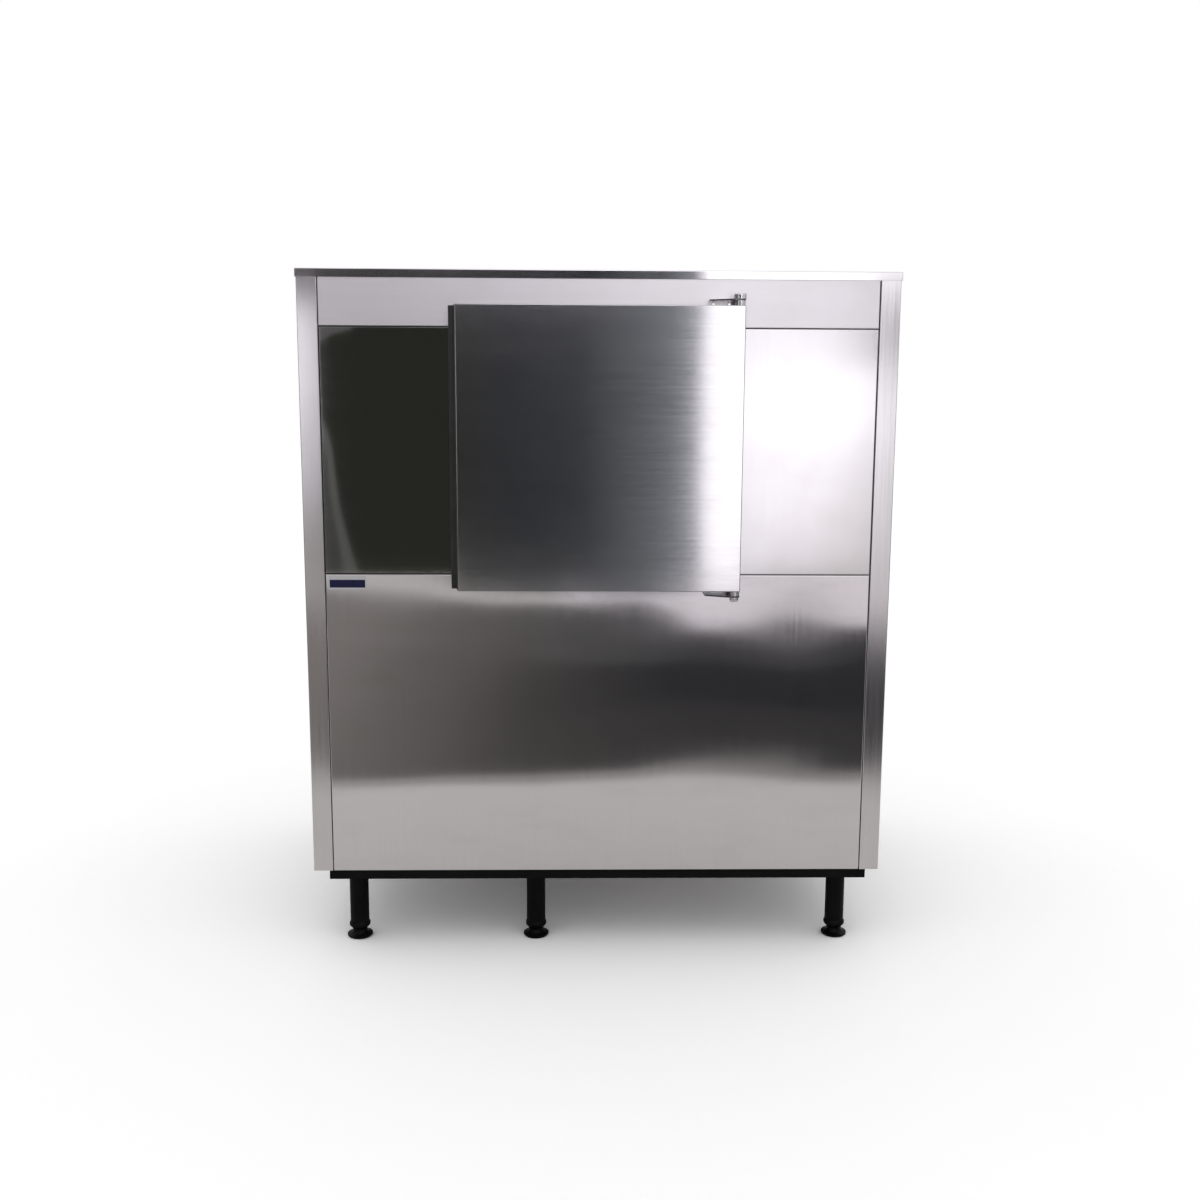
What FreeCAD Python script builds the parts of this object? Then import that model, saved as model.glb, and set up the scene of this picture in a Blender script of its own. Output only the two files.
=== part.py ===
import FreeCAD, Part
import math
import os

# Ice storage bin: insulated stainless cabinet on legs, open at the top for an ice machine,
# with one insulated door hinged on the right. Front faces -Y, up is +Z, origin on the floor
# under the centre of the whole outline.

V = FreeCAD.Vector
UP = V(0, 0, 1)
BACKWARD = V(0, 1, 0)
FORWARD = V(0, -1, 0)
tolerance = 1e-6

# Cabinet outline
body_width = 1216.0
body_depth = 850.0
leg_height = 150.0
rail_height = 22.0
lower_panel_height = 642.5
band_height = 502.5
header_height = 96.0
cap_lip = 17.0
cap_overhang = 2.0

# Sheet metal
sheet = 1.0
bend = 1.6
seam = 1.6
post_width = 41.0
return_depth = 12.0
rear_flange = 25.0
pan_flange = 20.0

# Insulation and liner
insulation = 50.0
floor_insulation = 60.0
liner_wall = 4.0
liner_cove = 40.0
liner_floor = 6.0
floor_fall = 10.0
sump_size = 130.0

# Doorway
doorway_width = 500.0
doorway_corner = 15.0
frame_wall = 2.0
frame_flange = 10.0

# Door
door_width = 574.0
door_rise = 41.0
door_drop = 27.0
door_thickness = 48.0
door_gap = 12.0
inner_pan_wall = 2.5
plug_height = 6.0
plug_clearance = 22.0
plug_corner = 20.0
plug_edge = 5.0
gasket_inset = 11.0
gasket_width = 13.0
gasket_waist = 8.0
gasket_base_height = 3.5
gasket_bulb_height = 4.7
gasket_corner = 14.0
gasket_clearance = 0.3

# Finger pull along the door's free edge
pull_reach = 16.0
pull_wall = 3.0
pull_lip = 5.0
pull_front_inset = 12.0
pull_back_inset = 9.0
pull_end_gap = 1.0
pull_round = 2.0

# Hinges
hinge_inset = 9.0
hinge_gap = 11.0
bracket_width = 70.0
bracket_gauge = 3.0
bracket_leaf = 8.0
bracket_nose = 11.0
bracket_taper = 24.0
pin_radius = 5.0
pin_head_radius = 12.5
pin_head_height = 10.7
pin_head_round = 2.5
nut_radius = 9.0
nut_height = 10.0
bush_radius = 8.0
bush_depth = 22.0
spacer_radius = 10.5
running_clearance = 0.05
face_clearance = 0.3
hinge_screw_inset = 9.0
hinge_screw_spacing = 32.0
hinge_screw_drop = 5.0
backing_gauge = 3.0
backing_height = 18.0

# Screws
screw_radius = 2.5
screw_head_radius = 4.0
screw_head_height = 2.0
screw_head_round = 1.4
screw_slot_width = 1.0
screw_slot_length = 4.2
screw_slot_depth = 1.0
screw_length = 14.0
screw_clearance = 0.05
back_screw_inset = 16.0
back_screw_rows = 5

# Strap inserts on the back
insert_spacing = 700.0
insert_drop = 50.0
insert_bore = 3.4
insert_radius = 5.5
insert_flange_radius = 8.0
insert_flange = 1.0
insert_length = 18.0
insert_well = 30.0

# Base frame
rail_gauge = 2.0
rail_bend = 4.0
rail_width = 104.0
rail_front_inset = 8.0
rail_side_inset = 28.0
cross_offset = -137.0
base_offset = 3.0

# Legs and feet
leg_radius = 20.5
leg_end_inset = 82.0
collar_radius = 22.8
collar_flats = 44.5
collar_top = 36.0
collar_low = 26.5
collar_rim = 5.0
neck_radius = 14.5
foot_top = 16.0
foot_radius = 27.5
foot_rim = 6.0
foot_sole = 3.0
foot_neck = 14.0
foot_waist = 18.0
foot_waist_height = 9.5
stem_radius = 9.0
stem_length = 45.0
stem_spare = 6.0
stud_radius = 5.0
stud_length = 30.0
stud_clearance = 0.02

# Top opening
drop_side_ledge = 53.0
drop_end_ledge = 90.0
drop_corner = 20.0
drop_flange = 20.0

# Drain
drain_radius = 17.0
drain_flange_radius = 32.0
drain_flange = 3.0
drain_bore = 9.5
drain_socket = 12.05
drain_socket_length = 22.0
drain_below = 42.0
locknut_flats = 46.0
locknut_height = 8.0
strainer_wall = 2.0
strainer_hole = 2.6
strainer_pitch = 9.0
strainer_rows = 3

# Ice baffle and its channels
baffle_thickness = 4.0
baffle_rise = 130.0
baffle_sink = 20.0
channel_wall = 2.0
channel_play = 0.5
channel_grip = 16.0
channel_stop = 4.0
channel_above = 6.0
grip_width = 130.0
grip_height = 30.0
grip_drop = 20.0
grip_corner = 13.0

# Blank plate
plate_width = 78.0
plate_height = 27.0
plate_gauge = 0.6
plate_inset = 6.0
plate_drop = 4.0
plate_corner = 3.0

# Levels and planes worked out from the sizes above
z_base = leg_height + rail_height
z_band = z_base + lower_panel_height
z_header = z_band + band_height
z_lip = z_header + header_height
z_top = z_lip + cap_lip
z_under = z_top - sheet
z_edge = z_under - bend + sheet
half_body = body_width / 2
total_depth = door_gap + door_thickness + body_depth + cap_overhang
front = door_gap + door_thickness - total_depth / 2
rear = front + body_depth
centre_y = (front + rear) / 2
half_panel = half_body - post_width - seam

liner_half = half_body - sheet - insulation
liner_front = front + sheet + insulation
liner_back = rear - sheet - insulation
liner_bottom = z_base + sheet + floor_insulation
tank_front = liner_front + liner_wall
tank_floor = liner_bottom + liner_floor
cove_top = liner_bottom + liner_cove + liner_floor

half_doorway = doorway_width / 2
sill = z_band + seam + frame_flange
lintel = z_header - seam - frame_flange
half_sleeve = half_doorway + frame_wall
sleeve_low = sill - frame_wall
sleeve_high = lintel + frame_wall

half_door = door_width / 2
door_low = z_band - door_drop
door_high = z_header + door_rise
door_back = front - door_gap
door_front = door_back - door_thickness
skin_back = door_back - inner_pan_wall
axis_x = half_door - hinge_inset
axis_y = door_back - door_thickness / 2

half_rail = half_body - rail_side_inset
leg_top = z_base - rail_gauge
leg_front_y = front + rail_front_inset + rail_width / 2
leg_rear_y = rear - rail_front_inset - rail_width / 2
leg_span = half_body - leg_end_inset
leg_places = {
    "left": base_offset - leg_span,
    "middle": base_offset + cross_offset,
    "right": base_offset + leg_span,
}
leg_rows = {"front": leg_front_y, "rear": leg_rear_y}


def box(x0, x1, y0, y1, z0, z1):
    return Part.makeBox(x1 - x0, y1 - y0, z1 - z0, V(x0, y0, z0))


def rod(radius, length, base, axis):
    return Part.makeCylinder(radius, length, base, axis)


def mirror_x(shape):
    return shape.mirror(V(0, 0, 0), V(1, 0, 0))


def edges_along(shape, axis):
    chosen = []
    for edge in shape.Edges:
        a = edge.Vertexes[0].Point
        b = edge.Vertexes[-1].Point
        run = b.sub(a)
        if run.Length > 0 and abs(run.dot(axis)) > 0.999 * run.Length:
            chosen.append(edge)
    return chosen


def edges_at(shape, axis, level):
    chosen = []
    for edge in shape.Edges:
        if all(abs(v.Point.dot(axis) - level) < tolerance for v in edge.Vertexes):
            chosen.append(edge)
    return chosen


# A box whose four edges along one axis are rounded
def rounded_box(x0, x1, y0, y1, z0, z1, radius, axis):
    shape = box(x0, x1, y0, y1, z0, z1)
    return shape.makeFillet(radius, edges_along(shape, axis))


# A box rounded everywhere except around its face at the given level along axis
def soft_box(x0, x1, y0, y1, z0, z1, radius, axis, level):
    shape = box(x0, x1, y0, y1, z0, z1)
    square = edges_at(shape, axis, level)
    picked = [e for e in shape.Edges if not any(e.isSame(s) for s in square)]
    return shape.makeFillet(radius, picked)


# Five-sided pan of folded sheet, open towards the signed axis letter
def folded_pan(x0, x1, y0, y1, z0, z1, opening, gauge, radius):
    low = [x0 + gauge, y0 + gauge, z0 + gauge]
    high = [x1 - gauge, y1 - gauge, z1 - gauge]
    axis_index = "xyz".index(opening[1])
    axis = [V(1, 0, 0), V(0, 1, 0), V(0, 0, 1)][axis_index]
    if opening[0] == "+":
        level = [x1, y1, z1][axis_index]
        high[axis_index] = level + gauge
        inner_level = high[axis_index]
    else:
        level = [x0, y0, z0][axis_index]
        low[axis_index] = level - gauge
        inner_level = low[axis_index]
    outer = soft_box(x0, x1, y0, y1, z0, z1, radius, axis, level)
    inner = soft_box(
        low[0], high[0], low[1], high[1], low[2], high[2], radius - gauge, axis, inner_level
    )
    return outer.cut(inner)


# Edges of a flat path through points at height z, its corners rounded
def rounded_path(points, radius, z):
    edges = []
    start = V(points[0][0], points[0][1], z)
    for i in range(1, len(points) - 1):
        corner = V(points[i][0], points[i][1], z)
        to_last = V(points[i - 1][0], points[i - 1][1], z).sub(corner).normalize()
        to_next = V(points[i + 1][0], points[i + 1][1], z).sub(corner).normalize()
        half = to_last.getAngle(to_next) / 2
        reach = radius / math.tan(half)
        first = corner.add(V(to_last).multiply(reach))
        last = corner.add(V(to_next).multiply(reach))
        inward = to_last.add(to_next).normalize()
        middle = corner.add(inward.multiply(radius / math.sin(half) - radius))
        edges.append(Part.makeLine(start, first))
        edges.append(Part.Arc(first, middle, last).toShape())
        start = last
    edges.append(Part.makeLine(start, V(points[-1][0], points[-1][1], z)))
    return edges


# Sheet folded along square corners: the path runs over its outer face, material lies to the left
def folded_sheet(points, gauge, radius, z0, z1):
    inside = []
    count = len(points)
    for i in range(count):
        shift = [0.0, 0.0]
        for a, b in ((i - 1, i), (i, i + 1)):
            if a < 0 or b >= count:
                continue
            dx = points[b][0] - points[a][0]
            dy = points[b][1] - points[a][1]
            length = math.hypot(dx, dy)
            shift[0] -= gauge * dy / length
            shift[1] += gauge * dx / length
        inside.append((points[i][0] + shift[0], points[i][1] + shift[1]))
    outer = rounded_path(points, radius, z0)
    inner = rounded_path(inside, radius - gauge, z0)
    ends = []
    for a, b in ((points[0], inside[0]), (points[-1], inside[-1])):
        ends.append(Part.makeLine(V(a[0], a[1], z0), V(b[0], b[1], z0)))
    wire = Part.Wire(Part.__sortEdges__(outer + inner + ends))
    return Part.Face(wire).extrude(V(0, 0, z1 - z0))


# Solid of revolution about an upright axis from (radius, height) points
def turned(points, x, y):
    wire = Part.makePolygon([V(r, 0, z) for r, z in points] + [V(points[0][0], 0, points[0][1])])
    solid = Part.Face(wire).revolve(V(0, 0, 0), UP, 360)
    solid.translate(V(x, y, 0))
    return solid


def hexagon(flats, height, x, y, z):
    radius = flats / math.sqrt(3)
    corners = []
    for i in range(7):
        angle = math.radians(60 * i + 30)
        corners.append(V(x + radius * math.cos(angle), y + radius * math.sin(angle), z))
    return Part.Face(Part.makePolygon(corners)).extrude(V(0, 0, height))


# Rectangle at one height, as a closed wire
def outline(half_x, y0, y1, z):
    corners = [V(-half_x, y0, z), V(half_x, y0, z), V(half_x, y1, z), V(-half_x, y1, z)]
    return Part.makePolygon(corners + corners[:1])


def save(name, shape):
    if len(shape.Solids) == 1:
        shape = shape.Solids[0]
    shape.exportStep("parts/" + name + ".step")


# Base frame: channels open downwards
def base_rail(x0, x1, y0, y1):
    return folded_pan(x0, x1, y0, y1, leg_height, z_base, "-z", rail_gauge, rail_bend)


def base_frame():
    front_y = (front + rail_front_inset, front + rail_front_inset + rail_width)
    rear_y = (rear - rail_front_inset - rail_width, rear - rail_front_inset)
    between = (front_y[1], rear_y[0])
    low_x = base_offset - half_rail
    high_x = base_offset + half_rail
    cross_x = leg_places["middle"] - rail_width / 2
    left = base_rail(low_x, low_x + rail_width, *between)
    right = base_rail(high_x - rail_width, high_x, *between)
    rails = {}
    rails["base_rail_front"] = base_rail(low_x, high_x, *front_y)
    rails["base_rail_rear"] = base_rail(low_x, high_x, *rear_y)
    rails["base_side_rails"] = Part.makeCompound([left, right])
    rails["base_cross_member"] = base_rail(cross_x, cross_x + rail_width, *between)
    for row, y in leg_rows.items():
        for x in leg_places.values():
            hole = rod(stud_radius + stud_clearance, rail_height, V(x, y, leg_height), UP)
            rails["base_rail_" + row] = rails["base_rail_" + row].cut(hole)
    return rails


# Leg: solid moulded post, faceted collar and cone at its foot, blind bores for stud and stem
def leg(x, y):
    body = turned(
        [
            (0, foot_top + face_clearance),
            (neck_radius, foot_top + face_clearance),
            (collar_radius, collar_low),
            (collar_radius, collar_low + collar_rim),
            (leg_radius, collar_top),
            (leg_radius, leg_top),
            (0, leg_top),
        ],
        x,
        y,
    )
    body = body.common(hexagon(collar_flats, leg_top, x, y, 0))
    stem_bore = rod(stem_radius + running_clearance, stem_length + stem_spare, V(x, y, foot_top), UP)
    stud_bore = rod(stud_radius + stud_clearance, stud_length, V(x, y, leg_top - stud_length), UP)
    return body.cut(stem_bore).cut(stud_bore)


# Levelling foot: bell-shaped sole under a threaded stem
def foot(x, y):
    rim = V(foot_radius, 0, foot_rim)
    waist = V(foot_waist, 0, foot_waist_height)
    curve = Part.Arc(rim, waist, V(foot_neck, 0, foot_top))
    lines = [
        V(foot_neck, 0, foot_top),
        V(stem_radius, 0, foot_top),
        V(stem_radius, 0, foot_top + stem_length),
        V(0, 0, foot_top + stem_length),
        V(0, 0, 0),
        V(foot_radius - foot_sole, 0, 0),
        V(foot_radius, 0, foot_sole),
        rim,
    ]
    edges = [curve.toShape()]
    for a, b in zip(lines[:-1], lines[1:]):
        edges.append(Part.makeLine(a, b))
    wire = Part.Wire(Part.__sortEdges__(edges))
    solid = Part.Face(wire).revolve(V(0, 0, 0), UP, 360)
    solid.translate(V(x, y, 0))
    return solid


def leg_stud(x, y):
    return rod(stud_radius, stud_length + rail_gauge, V(x, y, leg_top - stud_length), UP)


# Clearance hole for the drain barrel between two heights
def drain_hole(z0, z1):
    return rod(drain_radius + screw_clearance, z1 - z0, V(0, centre_y, z0), UP)


# Outer sheet metal
def floor_pan():
    pan = folded_pan(
        sheet - half_body,
        half_body - sheet,
        front + return_depth,
        rear - 2 * sheet,
        z_base,
        z_base + pan_flange,
        "+z",
        sheet,
        bend,
    )
    return pan.cut(drain_hole(z_base, z_base + pan_flange))


def side_panel_left():
    inner_x = post_width - half_body
    path = [
        (inner_x, front + return_depth),
        (inner_x, front),
        (-half_body, front),
        (-half_body, rear - sheet),
        (rear_flange - half_body, rear - sheet),
    ]
    return folded_sheet(path[::-1], sheet, bend, z_base, z_edge)


def back_panel():
    half = half_body - bend - sheet
    panel = box(-half, half, rear - sheet, rear, z_base, z_edge)
    for place in strap_insert_places():
        panel = panel.cut(strap_well(place))
    return panel


def front_pan(x0, x1, z0, z1):
    return folded_pan(x0, x1, front, front + return_depth, z0, z1, "+y", sheet, bend)


# Upright block with the outline of the ice drop, grown by a margin
def drop_block(margin, z0, z1):
    half_x = liner_half - liner_wall - drop_side_ledge + margin
    half_y = (liner_back - liner_wall - tank_front) / 2 - drop_end_ledge + margin
    return rounded_box(
        -half_x, half_x, centre_y - half_y, centre_y + half_y, z0, z1, drop_corner + margin, UP
    )


def top_panel():
    pan = folded_pan(
        -half_body - cap_overhang,
        half_body + cap_overhang,
        front - cap_overhang,
        rear + cap_overhang,
        z_lip,
        z_top,
        "-z",
        sheet,
        bend,
    )
    low = z_under - drop_flange
    collar = drop_block(sheet, low, z_top)
    mouth = drop_block(0, low - sheet, z_top + sheet)
    return pan.fuse(collar).cut(mouth).removeSplitter()


# Liner: floor tray with a cove and a fall to the sump, and flat walls up to the top panel
def liner_floor_tray():
    outside = [
        outline(liner_half, liner_front, liner_back, cove_top),
        outline(liner_half, liner_front, liner_back, liner_bottom + liner_cove),
        outline(liner_half - liner_cove, liner_front + liner_cove, liner_back - liner_cove, liner_bottom),
    ]
    half = liner_half - liner_wall
    high = liner_back - liner_wall
    edge = tank_floor + floor_fall
    half_sump = sump_size / 2
    inside = [
        outline(half, tank_front, high, cove_top + liner_floor),
        outline(half, tank_front, high, cove_top),
        outline(half - liner_cove, tank_front + liner_cove, high - liner_cove, edge),
        outline(half_sump, centre_y - half_sump, centre_y + half_sump, tank_floor),
    ]
    tray = Part.makeLoft(outside, True, True).cut(Part.makeLoft(inside, True, True))
    return tray.cut(drain_hole(liner_bottom - liner_floor, tank_floor + liner_floor))


def liner_wall_left():
    return box(-liner_half, liner_wall - liner_half, liner_front, liner_back, cove_top, z_under)


# Front or back sheet between the side walls
def liner_sheet(y0, z0, z1):
    half = liner_half - liner_wall
    return box(-half, half, y0, y0 + liner_wall, z0, z1)


def liner_jamb_left():
    return box(liner_wall - liner_half, -half_sleeve, liner_front, tank_front, sleeve_low, sleeve_high)


# Doorway frame: flange over the infill edges and a sleeve through the wall
def doorway_frame():
    flange = rounded_box(
        -half_doorway - frame_flange,
        half_doorway + frame_flange,
        front - frame_wall,
        front,
        sill - frame_flange,
        lintel + frame_flange,
        doorway_corner + frame_flange,
        BACKWARD,
    )
    y0 = front - door_gap
    y1 = tank_front + door_gap
    hole = rounded_box(-half_doorway, half_doorway, y0, y1, sill, lintel, doorway_corner, BACKWARD)
    sleeve = box(-half_sleeve, half_sleeve, front, tank_front, sleeve_low, sleeve_high)
    return flange.fuse(sleeve).cut(hole).removeSplitter()


# Insulation: boxes between skin and liner, listed by node
def insulation_blocks():
    x_out = half_body - sheet
    y_in = front + sheet
    y_out = rear - sheet
    z_low = z_base + sheet
    side = box(-x_out, -liner_half, y_in, y_out, z_low, z_under)
    infill = box(-liner_half, -half_sleeve, y_in, liner_front, sleeve_low, sleeve_high)
    blocks = {}
    blocks["insulation_left"] = [side]
    blocks["insulation_right"] = [mirror_x(side)]
    blocks["insulation_back"] = [box(-liner_half, liner_half, liner_back, y_out, z_low, z_under)]
    slab = box(-liner_half, liner_half, liner_front, liner_back, z_low, liner_bottom)
    blocks["insulation_floor"] = [slab]
    blocks["insulation_front_lower"] = [box(-liner_half, liner_half, y_in, liner_front, z_low, sleeve_low)]
    blocks["insulation_infills"] = [infill, mirror_x(infill)]
    blocks["insulation_header"] = [box(-liner_half, liner_half, y_in, liner_front, sleeve_high, z_under)]
    return blocks


# The main body of a cut block, without slivers left in the sheet bends
def main_block(shape):
    return max(shape.Solids, key=lambda solid: solid.Volume)


# Open seams between the front panels, kept clear of insulation
def seam_voids():
    back = front + return_depth
    seam_x = half_panel + seam
    left = box(-seam_x, -half_panel, front, back, z_base, z_under)
    low = box(-half_panel, half_panel, front, back, z_band - seam / 2, z_band + seam / 2)
    high = box(-half_panel, half_panel, front, back, z_header - seam / 2, z_header + seam / 2)
    return [left, mirror_x(left), low, high]


# Drain
def drain_fitting():
    bottom = z_base - drain_below
    barrel = rod(drain_radius, tank_floor - bottom, V(0, centre_y, bottom), UP)
    flange = rod(drain_flange_radius, drain_flange, V(0, centre_y, tank_floor), UP)
    bore = rod(drain_bore, tank_floor, V(0, centre_y, bottom), UP)
    socket = rod(drain_socket, drain_socket_length, V(0, centre_y, bottom), UP)
    return barrel.fuse(flange).cut(bore).cut(socket).removeSplitter()


def drain_locknut():
    nut = hexagon(locknut_flats, locknut_height, 0, centre_y, z_base - locknut_height)
    return nut.cut(rod(drain_radius + stud_clearance, z_base, V(0, centre_y, 0), UP))


def drain_strainer():
    level = tank_floor + drain_flange
    disc = rod(drain_flange_radius - strainer_wall, strainer_wall, V(0, centre_y, level), UP)
    row_height = strainer_pitch * math.sqrt(3) / 2
    reach = drain_flange_radius - 2 * strainer_wall - strainer_hole
    holes = []
    steps = range(-strainer_rows, strainer_rows + 1)
    for row in steps:
        for column in steps:
            x = strainer_pitch * (column + 0.5 * (row % 2))
            y = row_height * row
            if math.hypot(x, y) < reach:
                holes.append(rod(strainer_hole, strainer_wall, V(x, centre_y + y, level), UP))
    return disc.cut(holes)


# Ice baffle
def baffle_channel_left():
    x_out = -half_sleeve - channel_grip
    slot = baffle_thickness + 2 * channel_play
    depth = slot + 2 * channel_wall
    low = sill - baffle_sink - channel_stop
    high = sill + baffle_rise + channel_above
    body = box(x_out, -half_sleeve, tank_front, tank_front + depth, low, high)
    groove = box(
        x_out + channel_wall,
        -half_sleeve + channel_wall,
        tank_front + channel_wall,
        tank_front + channel_wall + slot,
        low + channel_stop,
        high + channel_stop,
    )
    return body.cut(groove)


def ice_baffle():
    half = half_sleeve + channel_grip - channel_wall - channel_play
    y0 = tank_front + channel_wall + channel_play
    y1 = y0 + baffle_thickness
    z0 = sill - baffle_sink
    z1 = sill + baffle_rise
    board = rounded_box(-half, half, y0, y1, z0, z1, baffle_thickness, BACKWARD)
    half_grip = grip_width / 2
    grip_high = z1 - grip_drop
    grip_low = grip_high - grip_height
    grip = rounded_box(-half_grip, half_grip, y0, y1, grip_low, grip_high, grip_corner, BACKWARD)
    return board.cut(grip)


# Hinge hardware: drawn for the top, turned over for the bottom
def bracket_upper():
    x0 = axis_x + bracket_nose - bracket_width
    x1 = axis_x + bracket_nose
    arm_low = door_high + hinge_gap
    arm_high = arm_low + bracket_gauge
    leaf_low = door_high - bracket_leaf
    leaf = box(x0, x1, front - bracket_gauge, front, leaf_low, arm_high)
    arm = box(x0, x1, axis_y - bracket_nose, front, arm_low, arm_high)
    nose = axis_y - bracket_nose
    wedge = Part.Face(
        Part.makePolygon(
            [
                V(x0, nose, arm_low),
                V(x1 - 2 * bracket_nose, nose, arm_low),
                V(x0, nose + bracket_taper, arm_low),
                V(x0, nose, arm_low),
            ]
        )
    ).extrude(V(0, 0, bracket_gauge))
    arm = arm.cut(wedge)
    corner = []
    for edge in edges_along(arm, UP):
        place = edge.Vertexes[0].Point
        if math.hypot(place.x - x1, place.y - nose) < tolerance:
            corner.append(edge)
    arm = arm.makeFillet(bracket_nose - bracket_gauge, corner)
    shape = leaf.fuse(arm).removeSplitter()
    shape = shape.cut(rod(pin_radius + stud_clearance, bracket_gauge, V(axis_x, axis_y, arm_low), UP))
    for place in hinge_screw_places():
        start = V(place.x, front - bracket_gauge, place.z)
        shape = shape.cut(rod(screw_radius + screw_clearance, bracket_gauge, start, BACKWARD))
    return shape


def hinge_screw_places():
    x0 = axis_x + bracket_nose - bracket_width + hinge_screw_inset
    z = door_high + hinge_gap - hinge_screw_drop
    return [V(x0, front, z), V(x0 + hinge_screw_spacing, front, z)]


def upside_down(shape):
    middle = (door_low + door_high) / 2
    return shape.mirror(V(0, 0, middle), UP)


def hinge_pin_upper():
    arm_high = door_high + hinge_gap + bracket_gauge
    bottom = door_high - bush_depth
    shank = rod(pin_radius, arm_high - bottom, V(axis_x, axis_y, bottom), UP)
    head = rod(pin_head_radius, pin_head_height, V(axis_x, axis_y, arm_high), UP)
    head = head.makeFillet(pin_head_round, edges_at(head, UP, arm_high + pin_head_height))
    return shank.fuse(head).removeSplitter()


def hinge_pin_lower():
    arm_low = door_low - hinge_gap - bracket_gauge
    top = door_low + bush_depth
    shank = rod(pin_radius, top - arm_low, V(axis_x, axis_y, arm_low), UP)
    dome = rod(nut_radius, nut_height, V(axis_x, axis_y, arm_low - nut_height), UP)
    dome = dome.makeFillet(pin_radius, edges_at(dome, UP, arm_low - nut_height))
    return shank.fuse(dome).removeSplitter()


def bush_upper():
    sleeve = rod(bush_radius, bush_depth, V(axis_x, axis_y, door_high - bush_depth), UP)
    spacer = rod(spacer_radius, hinge_gap - face_clearance, V(axis_x, axis_y, door_high), UP)
    low = door_high - 2 * bush_depth
    bore = rod(pin_radius + running_clearance, door_high + hinge_gap - low, V(axis_x, axis_y, low), UP)
    return sleeve.fuse(spacer).cut(bore).removeSplitter()


def bush_well():
    reach = bush_radius + stud_clearance
    return rod(reach, bush_depth + sheet, V(axis_x, axis_y, door_high - bush_depth), UP)


# Pan-head screw with a cross slot, driven along +Y or -Y through a face
def pan_screw(place, face_y, direction):
    outward = V(0, -direction, 0)
    seat = V(place.x, face_y, place.z)
    crown = face_y - direction * screw_head_height
    head = rod(screw_head_radius, screw_head_height, seat, outward)
    head = head.makeFillet(screw_head_round, edges_at(head, BACKWARD, crown))
    y0, y1 = sorted([crown, crown + direction * screw_slot_depth])
    for across, up in [(screw_slot_length, screw_slot_width), (screw_slot_width, screw_slot_length)]:
        x0 = place.x - across / 2
        z0 = place.z - up / 2
        head = head.cut(box(x0, x0 + across, y0, y1, z0, z0 + up))
    shank = rod(screw_radius, screw_length, seat, V(0, direction, 0))
    return head.fuse(shank).removeSplitter()


def screw_hole(place, direction):
    return rod(screw_radius + screw_clearance, screw_length, place, V(0, direction, 0))


def all_hinge_screw_places():
    upper = hinge_screw_places()
    lower = [V(place.x, place.y, door_low + door_high - place.z) for place in upper]
    return upper + lower


# Drilled steel plates behind the skin that take the bracket screws
def backing_plate_upper():
    places = hinge_screw_places()
    x0 = places[0].x - hinge_screw_inset
    x1 = places[1].x + hinge_screw_inset
    z = places[0].z
    y0 = front + sheet
    plate = box(x0, x1, y0, y0 + backing_gauge, z - backing_height / 2, z + backing_height / 2)
    for place in places:
        plate = plate.cut(rod(screw_radius + screw_clearance, backing_gauge, V(place.x, y0, z), BACKWARD))
    return plate


def back_screw_places():
    x = half_body - back_screw_inset
    low = z_base + pan_flange + back_screw_inset
    high = z_lip - 2 * back_screw_inset
    step = (high - low) / (back_screw_rows - 1)
    places = []
    for row in range(back_screw_rows):
        for sign in (-1, 1):
            places.append(V(sign * x, rear, low + row * step))
    return places


def strap_insert_places():
    z = z_lip - insert_drop
    return [V(-insert_spacing / 2, rear, z), V(insert_spacing / 2, rear, z)]


def strap_insert(place):
    body = rod(insert_radius, insert_length, place, FORWARD)
    flange = rod(insert_flange_radius, insert_flange, place, BACKWARD)
    bore = rod(insert_bore, 2 * insert_length, V(place.x, place.y + insert_length, place.z), FORWARD)
    return body.fuse(flange).cut(bore).removeSplitter()


def strap_well(place):
    return rod(insert_radius + screw_clearance, insert_well, place, FORWARD)


# Door
def door_skin():
    skin = folded_pan(
        -half_door, half_door, door_front, skin_back, door_low, door_high, "+y", sheet, bend
    )
    well = bush_well()
    return skin.cut(well).cut(upside_down(well))


def plug_block(shrink, y0, y1):
    half = half_doorway - plug_clearance - shrink
    low = sill + plug_clearance + shrink
    high = lintel - plug_clearance - shrink
    block = rounded_box(-half, half, y0, y1, low, high, plug_corner - shrink, BACKWARD)
    return block.makeFillet(plug_edge - shrink, edges_at(block, BACKWARD, y1))


def plug_hollow():
    return plug_block(inner_pan_wall, skin_back, door_back + plug_height - inner_pan_wall)


def door_inner_pan():
    plate = rounded_box(-half_door, half_door, skin_back, door_back, door_low, door_high, bend, BACKWARD)
    plug = plug_block(0, skin_back, door_back + plug_height)
    return plate.fuse(plug).cut(plug_hollow()).removeSplitter()


def door_insulation():
    core = soft_box(
        sheet - half_door,
        half_door - sheet,
        door_front + sheet,
        skin_back,
        door_low + sheet,
        door_high - sheet,
        bend - sheet,
        BACKWARD,
        skin_back,
    )
    well = bush_well()
    return core.fuse(plug_hollow()).cut(well).cut(upside_down(well)).removeSplitter()


def gasket_ring(inset, width, y0, y1):
    corner = gasket_corner - inset
    outer = rounded_box(
        -half_door + gasket_inset + inset,
        half_door - gasket_inset - inset,
        y0,
        y1,
        door_low + gasket_inset + inset,
        door_high - gasket_inset - inset,
        corner,
        BACKWARD,
    )
    reach = gasket_inset + inset + width
    inner = box(reach - half_door, half_door - reach, y0, y1, door_low + reach, door_high - reach)
    return outer.cut(inner)


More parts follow.
